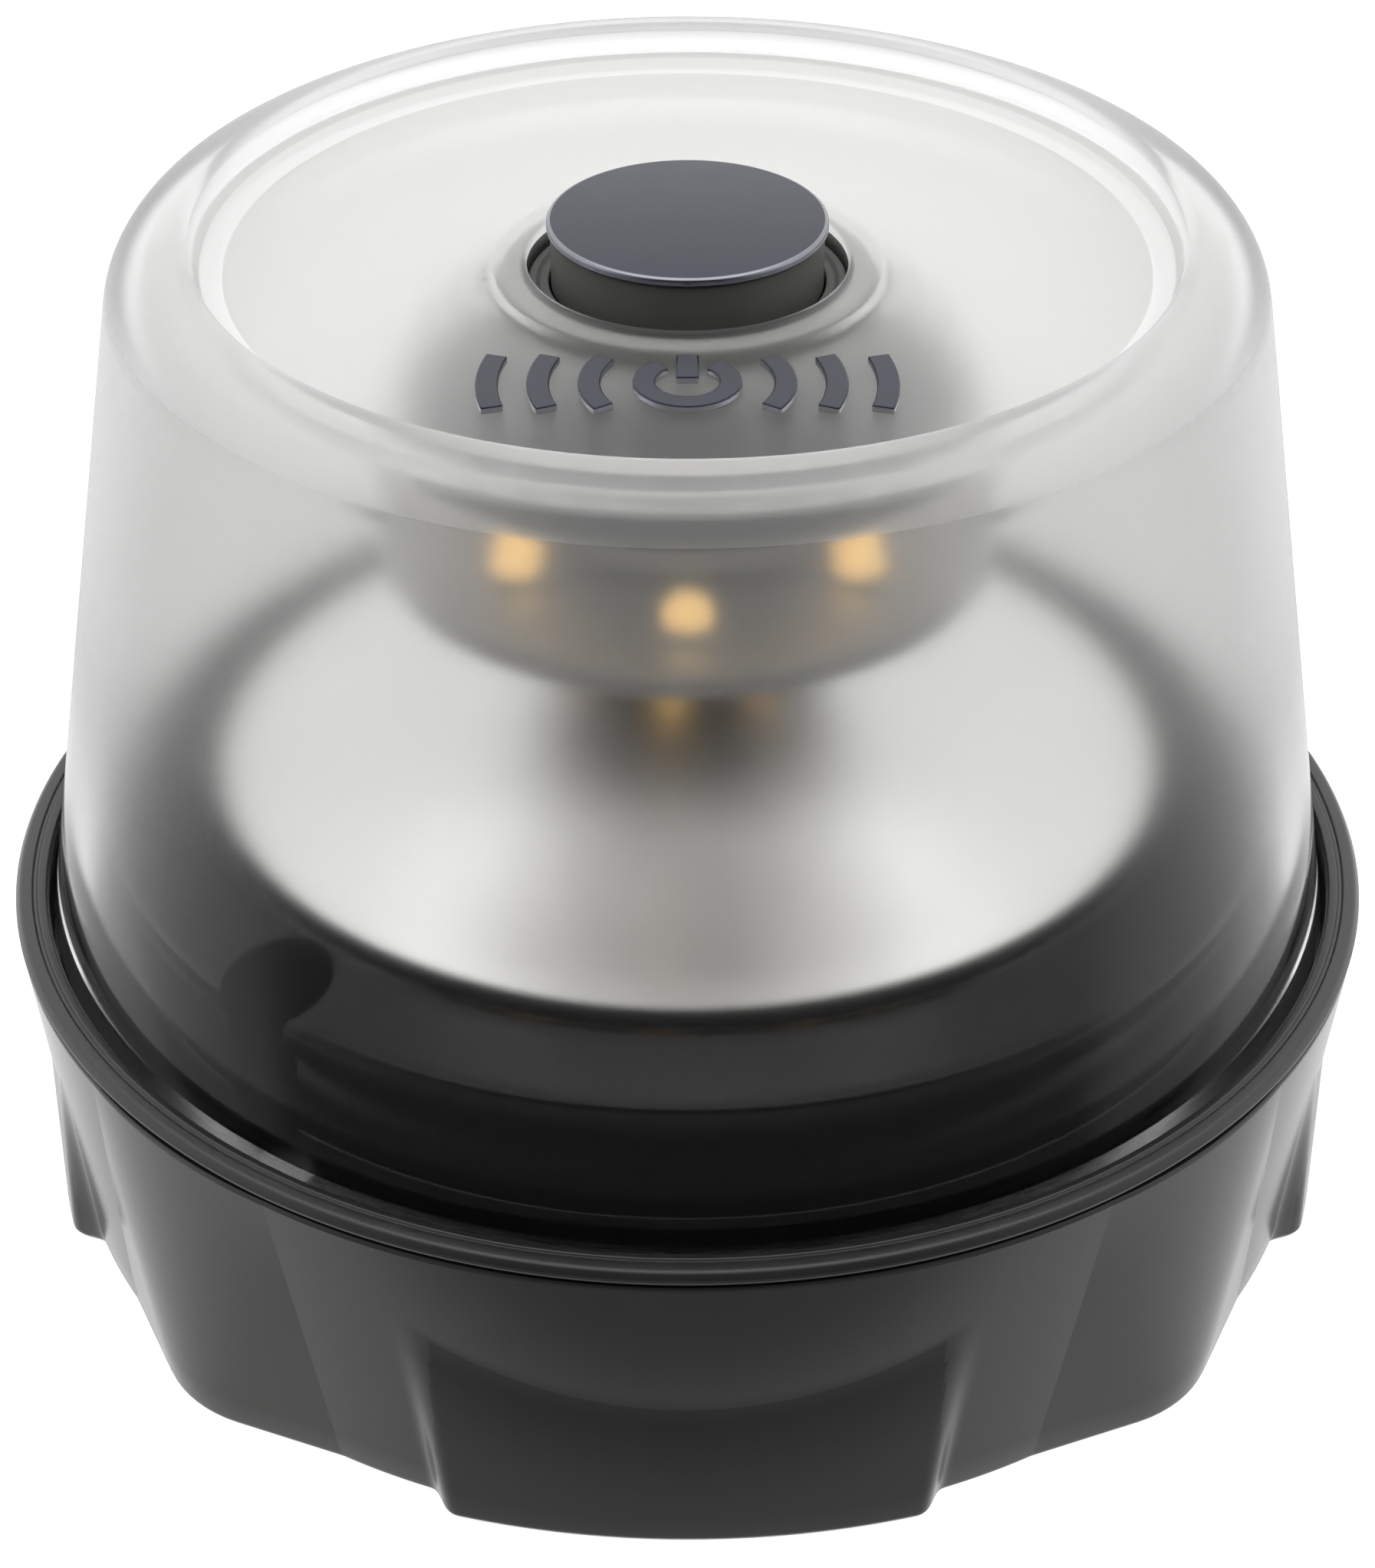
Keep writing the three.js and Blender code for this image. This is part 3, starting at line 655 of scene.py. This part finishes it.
def make_dome():
    foot_r = DOME_HIGH.x
    lean = math.atan2(foot_r - SHOULDER_R, SHOULDER_Z - DOME_LOW.z)
    centre_r = SHOULDER_R - SHOULDER_ROUND * math.cos(lean)
    centre_z = DOME_HIGH.z - SHOULDER_ROUND
    outer = arc_points(centre_r, centre_z, SHOULDER_ROUND, lean, math.pi / 2 + 0.05, 18)
    inner = arc_points(centre_r, centre_z, SHOULDER_ROUND - DOME_WALL, math.pi / 2, lean, 12)
    wall = [(mix(foot_r, outer[0][0], k / 10), mix(DOME_LOW.z, outer[0][1], k / 10)) for k in range(10)]
    lip = [
        outer[-1], (28.95, 65.35, 0.35), (28.45, 63.7, 0.25), (27.2, FLAT_TOP_Z, 0.6),
        (HOLE_R, FLAT_TOP_Z, 0.2), (HOLE_R, WEB_Z, 0.1), (WEB_R, WEB_Z),
    ]
    under = [
        (9.6, WEB_Z), (WEB_R, WEB_Z, 0.2), (WEB_R, FLAT_UNDER_Z, 0.3), (26.4, FLAT_UNDER_Z, 1.2),
        (27.8, 61.6, 0.5), (28.6, 62.6, 0.6), inner[0],
    ]
    outline = [(foot_r - DOME_WALL, DOME_LOW.z)] + wall + outer
    outline += softened(lip, closed=False, steps=5)[1:-1]
    outline += softened(under, closed=False, steps=4)[1:-1]
    outline += inner
    lens = turned("dome_lens", outline, CLEAR, segments=256, soften=False, sharp=45)
    paint(lens, LIP, lambda x, y, z: math.hypot(x, y) > LIP_MID_R and z > 62.9)
    paint(lens, FROST, lambda x, y, z: math.hypot(x, y) < LIP_OUT_R and z > 60.9)
    # the lip's rounded edge in the whiter frosting: painted highlight
    paint(lens, MILK_HIGHLIGHT, lambda x, y, z: LIP_IN_R < math.hypot(x, y) < LIP_MID_R and z > 62.9)
    return lens


dome = make_dome()
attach(dome, "head")
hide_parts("dome")


# ---------------------------------------------------------------- chassis deck

NOTCH_TURN = 226 * DEG
NOTCH_AT_R = 33.9                     # how far out the keyhole's round end is
NOTCH_R = 3.3
NOTCH_WALL_R = 4.0
NOTCH_FLOOR_Z = 20.21
SLOT_WIDTH = 4.6
SKIRT_IN_R = 35.3                     # the pocket's wall stops at the deck's skirt


def reshade(piece):
    work = bmesh.new()
    work.from_mesh(piece.data)
    shade(work, SHARP_BEND)
    work.to_mesh(piece.data)
    work.free()


def make_chassis():
    """The stepped deck, with a keyhole notch at its left front and a pocket wall behind the notch."""
    outline = [
        (33.2, 18.7), (40.5, 18.7, 0.2), (40.5, 20.2, 0.2), (35.4, 20.2, 0.2), (35.4, 25.8, 0.15),
        (35.9, 26.1, 0.2), (35.9, 27.7, 0.2), (35.75, 28.3, 0.5), (35.0, 28.55, 0.5),
        (31.4, 29.55, 0.3), (30.9, 29.8, 0.2), (30.1, 29.8, 0.2), (29.75, 28.2), (33.2, 27.2),
    ]
    deck = turned("deck", outline, INNER, segments=256, steps=4)
    place = Vector((NOTCH_AT_R * math.cos(NOTCH_TURN), NOTCH_AT_R * math.sin(NOTCH_TURN), 0)) * MM
    section = [(NOTCH_R, 20.0), (NOTCH_WALL_R, 20.0), (NOTCH_WALL_R, 28.2), (NOTCH_R, 28.2)]
    wall = turned("pocket_wall", section, INNER, segments=64)
    wall.location = place
    key = cylinder("key", NOTCH_R, NOTCH_FLOOR_Z, 31, INNER)
    key.location = place
    slot = block("slot", (NOTCH_AT_R, 38), SLOT_WIDTH, (NOTCH_FLOOR_Z, 31), INNER)
    slot.rotation_euler.z = NOTCH_TURN
    bpy.context.view_layer.update()
    cut_with(deck, key)
    cut_with(deck, slot)
    section = [(SKIRT_IN_R, 19), (45, 19), (45, 30), (SKIRT_IN_R, 30)]
    cut_with(wall, turned("outside", section, INNER, segments=128))
    return deck, wall


deck, pocket = make_chassis()
for piece in (deck, pocket):
    reshade(piece)
    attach(piece, "head")
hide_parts("chassis")


# ---------------------------------------------------------------- light engine

CONE_EDGE_Z, CONE_TOP_Z = 30.45, 42
CONE_TOP_R = 7.4
CONE_SLOPE = 0.16                     # the cone's rise just inside its edge
FLARE_STEPS = 40
LED_BASE = (3.4, 3.0)
DOWN_LED_COUNT = 8
DOWN_LED_TURN, DOWN_LED_STEP = -98, 45
DOWN_LED_R = 11.8
DISH_IN_R, DISH_IN_Z = 6.9, 50.6
DISH_SLOPE = 0.2277                   # rise of the dish's upper face


def make_reflector():
    """A cone that flares into a nearly flat rim."""
    edge_r = REFLECTOR_HIGH.x
    reach = edge_r - CONE_TOP_R
    steep = CONE_TOP_Z - CONE_EDGE_Z - CONE_SLOPE * reach
    curve = []
    for k in range(FLARE_STEPS + 1):
        r = mix(edge_r - 0.15, CONE_TOP_R, k / FLARE_STEPS)
        inward = edge_r - r
        curve.append((r, CONE_EDGE_Z + CONE_SLOPE * inward + steep * (inward / reach) ** 3))
    inner = [(r - 0.25, z - 1.1) for r, z in reversed(curve[:-1])]
    outline = [(28, 26.6), (29, 26.6), (29, 29.6), (edge_r, 29.9), (edge_r, 30.3)] + curve
    outline += [(6.9, 42), (6.9, 40.6)] + inner[1:-1] + [(28, 29.3)]
    return turned("cone_reflector", outline, SILVER, soften=False)


def make_head_shell():
    outside = [
        (18.5, 44.5, 0.2), (18.68, 44.9, 0.3), (18.5, 49, 8), (18, 52.8, 6), (17.3, 55.4, 4),
        (16.2, 57.4, 3), (14.6, 59.1, 2), (12.8, 60.4, 1.5), (11.6, 60.8, 0.3),
    ]
    inside = [
        (11.6, 59.9), (13.6, 58.5, 2), (15.4, 56.7, 2), (16.5, 54.9, 2), (17.15, 53, 2),
        (17.45, 50, 4), (17.5, 44.5),
    ]
    return turned("head_bell", outside + inside, HEAD)


def make_led(number):
    """A domed amber lens on a white base, where the CAD solid of that number is."""
    low, high = box_mm(f"led_{number}")
    centre = (low + high) / 2
    outline = [
        (0, low.z + 0.5), (1.5, low.z + 0.5, 0.1), (1.5, low.z + 0.9, 0.3),
        (1.2, high.z - 0.35, 0.6), (0.5, high.z, 0.5), (0, high.z),
    ]
    lens = turned(f"led_lens_{number}", outline, AMBER, closed=False, segments=40)
    lens.location = Vector((centre.x, centre.y, 0)) * MM
    length, width = LED_BASE
    base = block(f"led_base_{number}", (-length / 2, length / 2), width, (low.z, low.z + 0.7), WHITE)
    bevel_edges(base, 0.15)
    base.location = Vector((centre.x, centre.y, 0)) * MM
    base.rotation_euler.z = math.atan2(centre.y, centre.x)
    return lens, base


def make_led_board():
    outline = [
        (6.8, BOARD_LOW.z, 0.1), (17.1, BOARD_LOW.z, 0.1), (17.1, BOARD_HIGH.z, 0.15),
        (6.8, BOARD_HIGH.z, 0.15),
    ]
    board = turned("led_ring_board", outline, DARK_BOARD, segments=160, steps=3)
    paint(board, BOARD_TOP, lambda x, y, z: z > BOARD_HIGH.z - 0.2)
    return board


def make_upper_dish():
    outline = [(DISH_IN_R, 49.6), (17, 52, 0.1), (17, 52.9, 0.1), (DISH_IN_R, DISH_IN_Z)]
    dish = turned("upper_dish", outline, SILVER, segments=160, steps=3)

    def on_top(x, y, z):
        return z > DISH_IN_Z + (math.hypot(x, y) - DISH_IN_R) * DISH_SLOPE - 0.15

    paint(dish, DARK_BOARD, on_top)
    return dish


def make_flange():
    outline = [(6.55, 48.3, 0.1), (8.8, 48.3, 0.2), (8.8, 49.3, 0.2), (6.55, 49.3, 0.1)]
    return turned("column_flange", outline, INNER, segments=96, steps=3)


def make_down_led(k):
    """One of the LEDs under the board that light the cone."""
    azimuth = (DOWN_LED_TURN + DOWN_LED_STEP * k) * DEG
    outline = [(0, 43.15), (0.9, 43.15, 0.3), (1.3, 43.85), (0, 43.85)]
    spot = turned(f"down_led_{k + 1}", outline, AMBER, closed=False, segments=32)
    spot.location = Vector((DOWN_LED_R * math.cos(azimuth), DOWN_LED_R * math.sin(azimuth), 0)) * MM
    return spot


def make_column():
    low, high = COLUMN_LOW.z, COLUMN_HIGH.z
    outline = [(4.9, low), (6.5, low, 0.2), (6.5, high, 0.2), (4.9, high, 0.2)]
    return turned("column_tube", outline, INNER, segments=96)


reflector = make_reflector()
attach(reflector, "head")
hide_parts("lower_reflector")
bell = make_head_shell()
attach(bell, "head")
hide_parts("head_shell")
for number in range(1, 7):
    lens, base = make_led(number)
    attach(lens, "head")
    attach(base, "head")
    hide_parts(f"led_{number}")
board = make_led_board()
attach(board, "head")
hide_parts("led_board")
dish = make_upper_dish()
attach(dish, "head")
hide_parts("upper_reflector")
flange = make_flange()
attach(flange, "head")
for k in range(DOWN_LED_COUNT):
    spot = make_down_led(k)
    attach(spot, "head")
column = make_column()
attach(column, "head")
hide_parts("centre_column")


# ---------------------------------------------------------------- push button

CAP_SPLIT_Z = 65.02                   # the metal plate starts here, above the cap's body
PLATE_R = 8.23
PLATE_FACE_R = 7.9
BODY_R = 8.0
WELL_R = 9.45


def make_cap():
    """The cap's moulded body and the metal plate on it, with a brighter metal round the plate's edge as a
    painted highlight.
    """
    top = CAP_HIGH.z
    foot = CAP_LOW.z
    outline = [
        (0, 64.3), (7, 64.3, 0.3), (7, foot, 0.1), (BODY_R, foot, 0.2), (BODY_R, 65.0, 0.2), (0, 65.0),
    ]
    # the body in the darker grey: painted shade under the plate
    body = turned("cap_body", outline, WELL_SHADE, closed=False, segments=192)
    outline = [
        (0, CAP_SPLIT_Z), (PLATE_FACE_R, CAP_SPLIT_Z), (PLATE_R, 65.12, 0.1), (PLATE_R, top, 0.46),
        (0, top),
    ]
    disc = turned("cap_plate", outline, SLATE, closed=False, segments=192, steps=8)
    # the plate's rounded edge in the brighter metal: painted highlight
    paint(disc, CAP_EDGE_HIGHLIGHT, lambda x, y, z: math.hypot(x, y) > PLATE_FACE_R and z > 65.18)
    return body, disc


def make_bezel():
    outline = [
        (7.9, 57.6), (11.2, 57.6, 0.2), (11.2, 62.4, 0.9), (WELL_R, 62.4, 0.5), (WELL_R, 58.6, 0.2),
        (7.9, 58.6, 0.2),
    ]
    bezel = turned("bezel_tube", outline, SMOKE, segments=160)
    # the well's inner faces in the darker grey: painted shade
    paint(bezel, WELL_SHADE, lambda x, y, z: math.hypot(x, y) < WELL_R + 0.3)
    return bezel


def make_seal():
    """A rubber wiper round the cap, with a shallow valley between its two lips."""
    outline = [
        (8.12, 60.9, 0.1), (9.35, 60.9, 0.1), (9.35, 61.8, 0.15), (8.9, 61.8, 0.2), (8.6, 61.55, 0.2),
        (8.12, 61.8, 0.12),
    ]
    return turned("wiper_seal", outline, SEAL, segments=128, steps=3)


for cap in make_cap():
    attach(cap, "button")
    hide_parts("button_cap")
bezel = make_bezel()
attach(bezel, "head")
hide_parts("button_bezel")
seal = make_seal()
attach(seal, "head")
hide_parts("button_seal")


# ---------------------------------------------------------------- raised mark: a power sign between waves

MARK_Y = -16.5
MARK_STROKE = 1.25
ARC_STEPS = 24
SIGN_R = 2.4
SIGN_GAP = 0.62                       # half the opening at the ring's top, in radians
STEM_Y = (0.4, 3.1)
WAVE_RADII = (5.4, 8.2, 11)
WAVE_HALF_HEIGHT = 3.1


def make_plate(name, outline):
    """A raised plate with a flat outline, dark on its face, with a brighter metal down its sides as a
    painted highlight.
    """
    n = len(outline)
    verts = [(x, y, MARK_LOW.z) for x, y in outline] + [(x, y, MARK_HIGH.z) for x, y in outline]
    faces = [list(reversed(range(n))), list(range(n, 2 * n))]
    faces += [(i, (i + 1) % n, n + (i + 1) % n, n + i) for i in range(n)]
    piece = finish_mesh(name, verts, faces, SLATE)
    bevel_edges(piece, 0.09, 40, 2)
    # the sides and lower bevel in the brighter metal: painted highlight
    paint(piece, EDGE_HIGHLIGHT, lambda x, y, z: z < MARK_HIGH.z - 0.08)
    piece.location = Vector((0, MARK_Y, 0)) * MM
    return piece


def make_arc_bar(name, radius, start, end):
    outline = arc_points(0, 0, radius + MARK_STROKE / 2, start, end, ARC_STEPS)
    outline += arc_points(0, 0, radius - MARK_STROKE / 2, end, start, ARC_STEPS)
    return make_plate(name, outline)


def make_marks():
    top = math.pi / 2
    half = MARK_STROKE / 2
    low, high = STEM_Y
    marks = [("mark_ring", make_arc_bar("ring_sign", SIGN_R, top + SIGN_GAP, top - SIGN_GAP + 2 * math.pi))]
    stem = make_plate("stem_sign", [(-half, low), (half, low), (half, high), (-half, high)])
    marks.append(("mark_stem", stem))
    for i, radius in enumerate(WAVE_RADII, 1):
        reach = WAVE_HALF_HEIGHT / radius
        marks.append((f"mark_arc_right_{i}", make_arc_bar(f"wave_right_{i}", radius, -reach, reach)))
        left = make_arc_bar(f"wave_left_{i}", radius, math.pi - reach, math.pi + reach)
        marks.append((f"mark_arc_left_{i}", left))
    return marks


for node, piece in make_marks():
    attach(piece, "head")
    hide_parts(node)


# ---------------------------------------------------------------- inner parts that keep their CAD shape

DRESSED = {
    STEEL: ("magnet", "battery_stud_plus", "battery_stud_minus", "tray_screw_1", "tray_screw_2",
            "tray_screw_3", "tray_screw_4", "capacitor", "button_spring"),
    INNER: ("bayonet_ring", "battery_tray", "button_stem", "switch_plunger"),
    RUBBER: ("dome_gasket", "cup_seal", "snap_block"),
    BRASS: ("snap_contact_plus", "snap_contact_minus"),
    CHIP: ("controller_chip", "switch_body"),
    BATTERY: ("battery",),
    BOARD: ("main_board",),
    COPPER: ("boost_coil",),
    DARK_BOARD: ("switch_board",),
}

for material, names in DRESSED.items():
    for name in names:
        NODES[name].data.materials.clear()
        NODES[name].data.materials.append(material)


# ---------------------------------------------------------------- stage, light and camera

FLOOR_HALF = 6.0                      # metres
FLOOR_FADE_Y = (-0.055, -0.043)       # metres: the floor's own light falls off in front of the object
FLOOR_GLOW = (0.22, 0.98)
BACK_LIGHT = (-0.95, 0.05, 0.02, 1.6) # from this Y to that Y, from this strength to that one
TOP_LIGHT = (0.7, 0.92, 0.0, 1.2)     # the same along Z
CAMERA_BACK, CAMERA_UP = 4.6106, 3.1727  # in collar radii, from the middle of the collar's seam
SEAM_LEVEL = 21.5
CAMERA_TILT = 33.624                  # degrees below the horizontal
LENS, SENSOR = 85.5, 36


def make_floor():
    """Pale and glowing softly, but dimmer in front, where it would grey the black parts."""
    material, tree, shader = new_material("pale_floor")
    tint(tree, noise(tree, 2, 2), (0.2, 0.2, 0.2), (0.22, 0.22, 0.22), shader.inputs["Base Color"])
    shader.inputs["Roughness"].default_value = 0.9
    shader.inputs["Specular IOR Level"].default_value = 0.1
    shader.inputs["Emission Color"].default_value = (1, 1, 1, 1)
    glow = ramp(tree, axis(tree, "Y"), *FLOOR_FADE_Y, *FLOOR_GLOW)
    tree.links.new(glow, shader.inputs["Emission Strength"])
    mesh = bpy.data.meshes.new("floor")
    corners = [(-1, -1), (1, -1), (1, 1), (-1, 1)]
    mesh.from_pydata([(x * FLOOR_HALF, y * FLOOR_HALF, 0) for x, y in corners], [], [(0, 1, 2, 3)])
    mesh.materials.append(material)
    floor = bpy.data.objects.new("floor", mesh)
    bpy.context.scene.collection.objects.link(floor)


def make_world():
    """Soft studio: dim at the front, bright behind and at the sides, a broad panel overhead."""
    world = bpy.data.worlds.new("studio")
    world.use_nodes = True
    tree = world.node_tree
    background = tree.nodes["Background"]
    total = tree.nodes.new("ShaderNodeMath")
    total.operation = "ADD"
    tree.links.new(ramp(tree, axis(tree, "Y", "Generated"), *BACK_LIGHT), total.inputs[0])
    tree.links.new(ramp(tree, axis(tree, "Z", "Generated"), *TOP_LIGHT), total.inputs[1])
    tree.links.new(total.outputs["Value"], background.inputs["Strength"])
    background.inputs["Color"].default_value = (1, 1, 1, 1)
    bpy.context.scene.world = world


def make_camera():
    camera = bpy.data.cameras.new("camera")
    camera.sensor_width = SENSOR
    camera.lens = LENS
    holder = bpy.data.objects.new("camera", camera)
    holder.location = Vector((0, -CAMERA_BACK * RING_R, SEAM_LEVEL + CAMERA_UP * RING_R)) * MM
    holder.rotation_euler = ((90 - CAMERA_TILT) * DEG, 0, 0)
    bpy.context.scene.collection.objects.link(holder)
    bpy.context.scene.camera = holder


make_floor()
make_world()
make_camera()
bpy.context.scene.view_settings.view_transform = "Standard"
